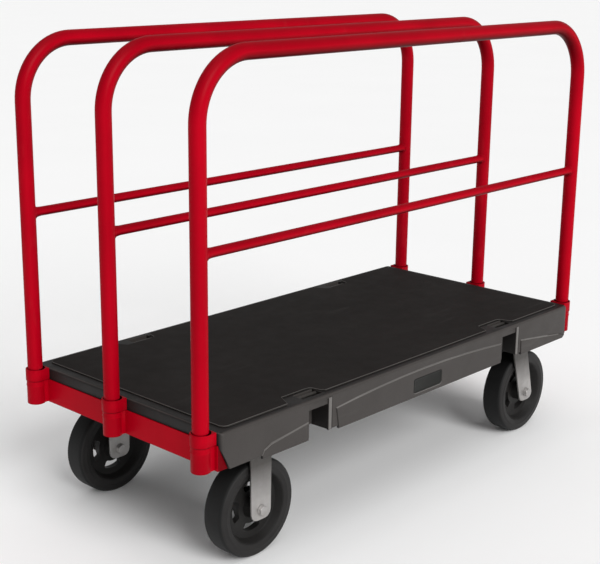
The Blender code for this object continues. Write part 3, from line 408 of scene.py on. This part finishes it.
def crossBar(row, legX, y):
    low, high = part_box("cross_bar_" + row)
    z = (low.z + high.z) / 2
    radius = railParts["barRadius"]
    reach = legX - railParts["tubeRadius"] * railParts["barReach"]
    body = "rail_" + row + "_body"
    piece = begin("crossBar_" + row, bpy.ops.mesh.primitive_cylinder_add, vertices=railParts["barSides"],
                  radius=radius, depth=2 * reach, location=(0, y, z), rotation=(0, math.radians(90), 0))
    flareStart = legX - railParts["tubeRadius"] - railParts["flareLength"]
    for side in (-1, 1):
        for share in railParts["flareCuts"]:
            cutX = side * (flareStart + railParts["flareLength"] * share)
            choose(piece, "FACE", lambda centre, normal: True)
            bpy.ops.mesh.bisect(plane_co=(cutX, y, z), plane_no=(1, 0, 0))
    middle = railParts["flareMiddle"]
    for cut, grow in zip(railParts["flareCuts"][1:], (middle, railParts["flare"] / middle)):
        # takes in this cut and all that lies past it
        limit = flareStart + railParts["flareLength"] * (cut - railParts["cutSlack"])
        choose(piece, "VERT", lambda spot: abs(spot.x) > limit)
        bpy.ops.transform.resize(value=(1, grow, grow), center_override=(0, y, z))
    bpy.ops.object.mode_set(mode="OBJECT")
    finished(piece, body, [paint], ["cross_bar_" + row])
    for end, side in zip(endNames, (-1, 1)):
        weld = begin("railWeld_" + row + "_" + end, bpy.ops.mesh.primitive_cylinder_add, vertices=64,
                     radius=railParts["tubeRadius"] + railParts["weldProud"], depth=railParts["weldTall"],
                     location=(side * legX, y, z))
        ring = begin("ring", bpy.ops.mesh.primitive_cylinder_add, vertices=40,
                     radius=radius * railParts["flare"] + railParts["weldProud"],
                     depth=railParts["tubeRadius"] * 2, rotation=(0, math.radians(90), 0),
                     location=(side * (legX - railParts["tubeRadius"]), y, z))
        combine(weld, ring, "INTERSECT")
        roundEdges(weld, railParts["weldRound"], 3, 50)
        finished(weld, body, [paint], angle=60)


for row in rowNames:
    crossBar(row, *railTube(row))
print("rails made")


socketParts = {"sides": 56, "bore": 0.01618, "sleeveRadius": 0.0190, "collarRadius": 0.0203,
               "collarHeight": 0.0251, "sleeveDrop": 0.002, "bellyShare": 0.80, "bellySpread": 0.06,
               "belly": 1.045, "round": 0.0011, "drain": 0.004, "floor": 0.003, "collarSlack": 0.00002,
               "weldHalf": 0.0168, "weldFoot": 0.0015, "weldReach": 0.0060, "weldRound": 0.0030,
               "weldRoom": 0.001}


def socket(end, row):
    node = "socket_" + end + "_" + row
    low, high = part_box(node)
    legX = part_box("rail_" + row)[1].x - railParts["tubeRadius"]
    side = -1 if end == "left" else 1
    x, y = side * legX, (low.y + high.y) / 2
    split = high.z - socketParts["collarHeight"]
    sleeve = begin("socketPiece_" + end + "_" + row, bpy.ops.mesh.primitive_cylinder_add,
                   vertices=socketParts["sides"], radius=socketParts["sleeveRadius"],
                   depth=high.z - low.z - socketParts["sleeveDrop"],
                   location=(x, y, (high.z + low.z - socketParts["sleeveDrop"]) / 2))
    bellyZ = low.z + (split - low.z) * socketParts["bellyShare"]
    for step in (-1, 0, 1):
        cutZ = bellyZ + step * (split - low.z) * socketParts["bellySpread"]
        choose(sleeve, "FACE", lambda centre, normal: True)
        bpy.ops.mesh.bisect(plane_co=(x, y, cutZ), plane_no=(0, 0, 1))
    choose(sleeve, "VERT", lambda spot: abs(spot.z - bellyZ) < 0.0005)
    bpy.ops.transform.resize(value=(socketParts["belly"], socketParts["belly"], 1),
                             center_override=(x, y, bellyZ))
    bpy.ops.object.mode_set(mode="OBJECT")
    collar = begin("collar", bpy.ops.mesh.primitive_cylinder_add, vertices=socketParts["sides"],
                   radius=socketParts["collarRadius"], depth=high.z - split,
                   location=(x, y, (high.z + split) / 2))
    back = abs(x - (high.x if side < 0 else low.x))
    block = begin("block", bpy.ops.mesh.primitive_cube_add, size=1.0,
                  location=(x - side * back / 2, y, (high.z + split) / 2),
                  scale=(back, 2 * socketParts["collarRadius"] - socketParts["collarSlack"],
                         high.z - split))
    combine(collar, block, "UNION")
    combine(sleeve, collar, "UNION")
    bore = begin("bore", bpy.ops.mesh.primitive_cylinder_add, vertices=socketParts["sides"],
                 radius=socketParts["bore"], depth=high.z - low.z,
                 location=(x, y, (high.z + low.z) / 2 + socketParts["floor"]))
    combine(sleeve, bore)
    drain = begin("drain", bpy.ops.mesh.primitive_cylinder_add, vertices=24,
                  radius=socketParts["drain"], depth=0.02, location=(x, y, low.z))
    combine(sleeve, drain)
    roundEdges(sleeve, socketParts["round"], 3, 50)
    finished(sleeve, "cart_body", [paint], [node], angle=40)
    # the weld that fills the space between the sleeve and the end bar
    face = high.x if side < 0 else low.x
    inner = x - side * socketParts["weldReach"]
    weld = begin("socketWeld_" + end + "_" + row, bpy.ops.mesh.primitive_cube_add, size=1.0,
                 location=((face + inner) / 2, y, (low.z + socketParts["weldFoot"] + split) / 2),
                 scale=(abs(face - inner), 2 * socketParts["weldHalf"],
                        split - low.z - socketParts["weldFoot"]))
    bore = begin("bore", bpy.ops.mesh.primitive_cylinder_add, vertices=socketParts["sides"],
                 radius=socketParts["bore"] + socketParts["weldRoom"], depth=0.2, location=(x, y, low.z))
    combine(weld, bore)
    choose(weld, "EDGE", lambda a, b: abs(a.x - b.x) < 0.0001 and abs(a.y - b.y) < 0.0001
           and abs(a.x - inner) < 0.0001)
    bpy.ops.mesh.bevel(offset=socketParts["weldRound"], segments=4, profile=0.5, affect="EDGES")
    turnOut(weld)
    finished(weld, "cart_body", [paint], angle=40)


barParts = {"round": 0.0012}

for end in endNames:
    for row in rowNames:
        socket(end, row)
    bar = copyNode("end_bar_" + end, "endBar_" + end)
    roundEdges(bar, barParts["round"], 3, 40)
    finished(bar, "cart_body", [barPaint], ["end_bar_" + end], evenFaces=True)
print("sockets and end bars made")


deckParts = {"round": 0.0012, "panelRound": 0.0011, "plateRound": 0.0004, "plateBorder": 0.0030,
             "plateSink": 0.0005, "rodRadius": 0.004, "skirtDepth": 0.0025, "skirtDrop": 0.010,
             "highlightEnd": 0.063, "ledgeTilt": (0.30, 0.97), "pillarSet": 0.006,
             "pillarSpan": (0.001, 0.0088)}

deck = copyNode("deck_shell", "deckMoulding")
deck.data.materials.append(deckPlastic)
deck.data.materials.append(deckHighlight)
roundEdges(deck, deckParts["round"], 2, 38, 1)
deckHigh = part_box("deck_shell")[1]
pillarEdges = [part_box("tie_rod_" + end + "_near")[1].x - deckParts["pillarSet"] for end in endNames]
flattest, steepest = deckParts["ledgeTilt"]
pillarStart, pillarEnd = deckParts["pillarSpan"]
for face in deck.data.polygons:
    # painted highlight: pale edge colour only on top of the raised side panels and on the pillars beside
    # the notches
    spot = face.center
    skirt = (abs(spot.y) > deckHigh.y - deckParts["skirtDepth"]
             and spot.z < deckHigh.z - deckParts["skirtDrop"])
    ledge = flattest < face.normal.z < steepest and spot.x < deckHigh.x - deckParts["highlightEnd"]
    pillar = abs(face.normal.z) < flattest and any(
        pillarStart < spot.x - edge < pillarEnd for edge in pillarEdges)
    face.material_index = 1 if skirt and (ledge or pillar) else 0
finished(deck, "cart_body", [deckPlastic, deckHighlight], ["deck_shell"], angle=40,
         evenFaces=True)

panel = copyNode("top_panel", "raisedPanel")
panel.data.materials.append(panelPlastic)
panel.data.materials.append(panelHighlight)
# the rounded edge takes the second material, a painted highlight
roundEdges(panel, deckParts["panelRound"], 3, 38, 1)
finished(panel, "cart_body", [panelPlastic, panelHighlight], ["top_panel"], angle=40,
         evenFaces=True)

for side in sideNames:
    plate = copyNode("name_plate_" + side, "blankPlate_" + side)
    outward = -1 if side == "near" else 1
    choose(plate, "FACE", lambda centre, normal: normal.y * outward > 0.9)
    bpy.ops.mesh.inset(thickness=deckParts["plateBorder"], depth=0)
    bpy.ops.mesh.inset(thickness=deckParts["plateSink"], depth=-deckParts["plateSink"])
    bpy.ops.object.mode_set(mode="OBJECT")
    roundEdges(plate, deckParts["plateRound"], 2, 40)
    finished(plate, "cart_body", [platePlastic], ["name_plate_" + side])
    for end in endNames:
        node = "tie_rod_" + end + "_" + side
        low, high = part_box(node)
        rod = begin("tieRod_" + end + "_" + side, bpy.ops.mesh.primitive_cylinder_add, vertices=28,
                    radius=deckParts["rodRadius"], depth=high.x - low.x,
                    location=tuple((low + high) / 2), rotation=(0, math.radians(90), 0))
        finished(rod, "cart_body", [steel], [node])
print("deck made")


wheelParts = {"sides": 96, "radius": 0.1016, "width": 0.0508, "shoulder": 0.0085,
              "wallSteps": ((0.0060, 0.0), (0.0010, 0.0006), (0.0022, 0.0), (0.0010, -0.0006),
                            (0.0055, 0.0), (0.0031, -0.0018)),
              "rimRadius": 0.0740, "rimWidth": 0.0470,
              "hubSteps": ((0.0016, 0.0), (0.0060, -0.0165), (0.0430, 0.0), (0.0006, 0.0210),
                           (0.0010, 0.0008)),
              "bore": 0.0138, "windowInner": 0.0362, "windowOuter": 0.0528, "windowSpan": 54,
              "windowCorner": 0.0035, "windowCount": 4, "hubRound": 0.0012,
              "bearingRadius": 0.01345, "bearingBore": 0.0069, "wallInside": 0.0745, "wallTilt": 0.80}
# how far each kind of wheel is turned
wheelTurn = {"rigid": 0.0, "swivel": 22.5}


def disc(name, radius, width):
    return begin(name, bpy.ops.mesh.primitive_cylinder_add, vertices=wheelParts["sides"], radius=radius,
                 depth=width, rotation=(math.radians(90), 0, 0))


def stepCaps(piece, steps):
    for thickness, depth in steps:
        bpy.ops.mesh.inset(thickness=thickness, depth=depth, use_individual=True)


def tyreMaster():
    piece = disc("tyreMaster", wheelParts["radius"], wheelParts["width"])
    half = wheelParts["width"] / 2 - 0.0001
    choose(piece, "EDGE", lambda a, b: abs(a.y) > half and abs(a.y - b.y) < 0.001)
    bpy.ops.mesh.bevel(offset=wheelParts["shoulder"], segments=7, profile=0.5, affect="EDGES")
    choose(piece, "FACE", lambda centre, normal: abs(normal.y) > 0.999)
    stepCaps(piece, wheelParts["wallSteps"])
    bpy.ops.mesh.bridge_edge_loops()
    turnOut(piece)
    piece.data.materials.append(tread)
    piece.data.materials.append(sideWall)
    for face in piece.data.polygons:
        spot = math.hypot(face.center.x, face.center.z)
        wall = abs(face.normal.y) > wheelParts["wallTilt"] and spot > wheelParts["wallInside"]
        face.material_index = 1 if wall else 0
    return piece


def windowCutter(turn):
    inner, outer = wheelParts["windowInner"], wheelParts["windowOuter"]
    piece = begin("window", bpy.ops.mesh.primitive_plane_add, size=1.0)
    choose(piece, "FACE", lambda centre, normal: True)
    bpy.ops.transform.resize(value=(outer - inner, 0.05, 1), center_override=(0, 0, 0))
    bpy.ops.transform.translate(value=((outer + inner) / 2, 0, 0))
    bpy.ops.mesh.spin(steps=14, angle=math.radians(wheelParts["windowSpan"]), axis=(0, 1, 0),
                      center=(0, 0, 0))
    turnOut(piece)
    choose(piece, "EDGE", lambda a, b: abs(a.y - b.y) > 0.04)
    bpy.ops.object.mode_set(mode="OBJECT")
    piece.rotation_euler = (0, math.radians(turn), 0)
    pick(piece)
    bpy.ops.object.transform_apply(location=True, rotation=True, scale=True)
    roundEdges(piece, wheelParts["windowCorner"], 4, 60)
    return piece


def hubMaster(turn):
    piece = disc("hubMaster", wheelParts["rimRadius"], wheelParts["rimWidth"])
    choose(piece, "FACE", lambda centre, normal: abs(normal.y) > 0.999)
    stepCaps(piece, wheelParts["hubSteps"])
    reached = wheelParts["rimRadius"] - sum(step[0] for step in wheelParts["hubSteps"])
    stepCaps(piece, ((reached - wheelParts["bore"], 0.0),))
    bpy.ops.mesh.bridge_edge_loops()
    turnOut(piece)
    roundEdges(piece, wheelParts["hubRound"], 2, 40)
    for count in range(wheelParts["windowCount"]):
        middle = turn + 360 * count / wheelParts["windowCount"]
        combine(piece, windowCutter(wheelParts["windowSpan"] / 2 - middle))
    return piece


def bearingMaster(length):
    piece = begin("bearingMaster", bpy.ops.mesh.primitive_cylinder_add, vertices=48,
                  radius=wheelParts["bearingRadius"], depth=length, rotation=(math.radians(90), 0, 0))
    choose(piece, "FACE", lambda centre, normal: abs(normal.y) > 0.999)
    gap = wheelParts["bearingRadius"] - wheelParts["bearingBore"]
    stepCaps(piece, ((gap * 0.30, 0.0), (gap * 0.05, -0.0008), (gap * 0.30, 0.0), (gap * 0.05, 0.0008),
                     (gap * 0.30, 0.0)))
    bpy.ops.mesh.bridge_edge_loops()
    turnOut(piece)
    return piece


axleParts = {"headAcross": 0.0190, "headLength": 0.0075, "flange": 0.0112, "flangeThick": 0.0014,
             "crown": 1.13, "crownRound": 0.0022, "shank": 0.00630, "shankRound": 0.0009,
             "edgeRound": 0.0004, "nutRoom": 0.0003, "headBite": 0.004}


def hexHead(name, length, y):
    # a hexagon whose outer corners are turned off, with its washer face towards the fork
    across = axleParts["headAcross"]
    piece = begin(name, bpy.ops.mesh.primitive_cylinder_add, vertices=6,
                  radius=across / 2 / math.cos(math.radians(30)), depth=length,
                  location=(0, y, 0), rotation=(math.radians(90), 0, 0))
    crown = begin("crown", bpy.ops.mesh.primitive_cylinder_add, vertices=64,
                  radius=across / 2 * axleParts["crown"], depth=length, location=(0, y, 0),
                  rotation=(math.radians(90), 0, 0))
    roundEdges(crown, axleParts["crownRound"], 4, 40)
    combine(piece, crown, "INTERSECT")
    inward = 1 if y < 0 else -1
    flange = begin("flange", bpy.ops.mesh.primitive_cylinder_add, vertices=64,
                   radius=axleParts["flange"], depth=axleParts["flangeThick"],
                   location=(0, y + inward * (length - axleParts["flangeThick"]) / 2, 0),
                   rotation=(math.radians(90), 0, 0))
    combine(piece, flange, "UNION")
    return piece


def axleMasters(low, high, nutLow, nutHigh, y):
    # the lengths come from a bolt and its nut, whose middle along the axle is at y
    headEnd = nutLow.y - y
    bolt = hexHead("boltMaster", axleParts["headLength"], -headEnd - axleParts["headLength"] / 2)
    shank = begin("shank", bpy.ops.mesh.primitive_cylinder_add, vertices=40, radius=axleParts["shank"],
                  depth=high.y - low.y - axleParts["headBite"], rotation=(math.radians(90), 0, 0),
                  location=(0, (high.y + low.y + axleParts["headBite"]) / 2 - y, 0))
    roundEdges(shank, axleParts["shankRound"], 2, 40)
    combine(bolt, shank, "UNION")
    roundEdges(bolt, axleParts["edgeRound"], 2, 40)
    nut = hexHead("nutMaster", nutHigh.y - nutLow.y, (nutHigh.y + nutLow.y) / 2 - y)
    hole = begin("hole", bpy.ops.mesh.primitive_cylinder_add, vertices=40,
                 radius=axleParts["shank"] + axleParts["nutRoom"], depth=0.1, location=(0, 0.05, 0),
                 rotation=(math.radians(90), 0, 0))
    combine(nut, hole)
    roundEdges(nut, axleParts["edgeRound"], 2, 40)
    return bolt, nut


boltLow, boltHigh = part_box("axle_bolt_rigid_near")
nutLow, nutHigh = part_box("axle_nut_rigid_near")
bearingLow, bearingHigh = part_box("bearing_rigid_near")
tyreLow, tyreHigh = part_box("tyre_rigid_near")
boltMaster, nutMaster = axleMasters(boltLow, boltHigh, nutLow, nutHigh, (tyreLow.y + tyreHigh.y) / 2)
masters = {"tyre": tyreMaster(), "bearing": bearingMaster(bearingHigh.y - bearingLow.y),
           "axle_bolt": boltMaster, "axle_nut": nutMaster}
wheelLooks = {"tyre": ("tyre_rubber", [tread, sideWall]), "hub": ("hub_plastic", [hubPlastic]),
              "bearing": ("plain_steel", [steel]), "axle_bolt": ("zinc_steel", [zinc]),
              "axle_nut": ("zinc_steel", [zinc])}
for kind in ("rigid", "swivel"):
    masters["hub"] = hubMaster(wheelTurn[kind])
    for side in sideNames:
        low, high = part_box("tyre_" + kind + "_" + side)
        centre = (low + high) / 2
        for part, master in masters.items():
            node = part + "_" + kind + "_" + side
            piece = copyPiece(master, node.replace("_", "") + "Piece", centre)
            turning = part in ("tyre", "hub", "bearing")
            body = "wheel_" + kind + "_" + side if turning else (
                "cart_body" if kind == "rigid" else "swivel_" + side)
            slot, looks = wheelLooks[part]
            finished(piece, body, looks, [node], angle=40)
    bpy.data.objects.remove(masters.pop("hub"), do_unlink=True)
for master in masters.values():
    bpy.data.objects.remove(master, do_unlink=True)
print("wheels made")


casterParts = {"round": 0.0011, "pinRound": 0.0006, "raceSides": 72, "raceInside": 0.0230,
               "raceRound": 0.0006, "grooveHalf": 0.0012, "grooveDepth": 0.965}

for side in sideNames:
    for node, body in (("rigid_fork_", "cart_body"), ("swivel_plate_", "cart_body"),
                       ("swivel_fork_", "swivel_" + side), ("kingpin_", "cart_body"),
                       ("kingpin_nut_", "cart_body")):
        piece = copyNode(node + side, node.replace("_", "") + "Piece_" + side)
        roundEdges(piece, casterParts["pinRound" if "pin" in node else "round"], 2, 38)
        finished(piece, body, [zinc], [node + side], evenFaces=True)
    low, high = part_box("swivel_race_" + side)
    centre = (low + high) / 2
    race = begin("ballRace_" + side, bpy.ops.mesh.primitive_cylinder_add,
                 vertices=casterParts["raceSides"], radius=(high.x - low.x) / 2, depth=high.z - low.z,
                 location=tuple(centre))
    for step in (-1, 0, 1):
        choose(race, "FACE", lambda spot, normal: True)
        bpy.ops.mesh.bisect(plane_co=(0, 0, centre.z + step * casterParts["grooveHalf"]),
                            plane_no=(0, 0, 1))
    choose(race, "VERT", lambda spot: abs(spot.z - centre.z) < 0.0002)
    bpy.ops.transform.resize(value=(casterParts["grooveDepth"], casterParts["grooveDepth"], 1),
                             center_override=tuple(centre))
    choose(race, "FACE", lambda spot, normal: abs(normal.z) > 0.999)
    bpy.ops.mesh.inset(thickness=(high.x - low.x) / 2 - casterParts["raceInside"], depth=0,
                       use_individual=True)
    bpy.ops.mesh.bridge_edge_loops()
    turnOut(race)
    roundEdges(race, casterParts["raceRound"], 2, 40)
    finished(race, "cart_body", [steel], ["swivel_race_" + side])
print("casters made")


# the nuts inside the end walls keep their CAD shape
for name, node in nodes.items():
    if name.startswith("bar_nut"):
        node.data.materials.clear()
        node.data.materials.append(zinc)


studio = {"floorSize": 160.0, "world": 0.42,
          "keyPower": 2.1, "keySpread": 32, "keyPlace": (-0.7, -3.0, 2.0),
          "topPower": 0.7, "topSpread": 50, "topPlace": (-0.5, -0.4, 3.5),
          "cameraPlace": (-2.0220, -1.7727, 1.1489), "cameraTilt": 75.058, "cameraTurn": -45.007,
          "lens": 73.03, "shift": (0.0905, -0.0035)}


def lamp(name, power, spread, place):
    # a broad, even light that shines from place towards the middle of the floor
    clearPick()
    bpy.ops.object.light_add(type="SUN", location=place)
    light = bpy.context.object
    light.name = name
    light.data.energy = power
    light.data.angle = math.radians(spread)
    light.rotation_euler = (math.atan2(math.hypot(place[0], place[1]), place[2]), 0,
                            math.atan2(place[1], place[0]) + math.radians(90))


floor = begin("floor", bpy.ops.mesh.primitive_plane_add, size=studio["floorSize"])
floorShader = Shader("floorPaper", Specular_IOR_Level=0.1)
paper = floorShader.noise(1.3, 2)
floorShader.feed(Base_Color=floorShader.blend(paper, colour(0.93, 0.93, 0.93), colour(0.95, 0.95, 0.95)),
                 Roughness=0.85 + paper * 0.1)
floor.data.materials.append(floorShader.material)

world = bpy.data.worlds.new("studioWorld")
world.use_nodes = True
world.node_tree.nodes["Background"].inputs["Color"].default_value = (1.0, 1.0, 1.0, 1.0)
world.node_tree.nodes["Background"].inputs["Strength"].default_value = studio["world"]
bpy.context.scene.world = world
lamp("keyLight", studio["keyPower"], studio["keySpread"], studio["keyPlace"])
lamp("topLight", studio["topPower"], studio["topSpread"], studio["topPlace"])

clearPick()
bpy.ops.object.camera_add(location=studio["cameraPlace"],
                          rotation=(math.radians(studio["cameraTilt"]), 0,
                                    math.radians(studio["cameraTurn"])))
camera = bpy.context.object
camera.data.sensor_width = 36.0
camera.data.lens = studio["lens"]
camera.data.shift_x, camera.data.shift_y = studio["shift"]
camera.data.clip_end = 500.0
bpy.context.scene.camera = camera
bpy.context.scene.view_settings.view_transform = "Standard"
print("studio ready")
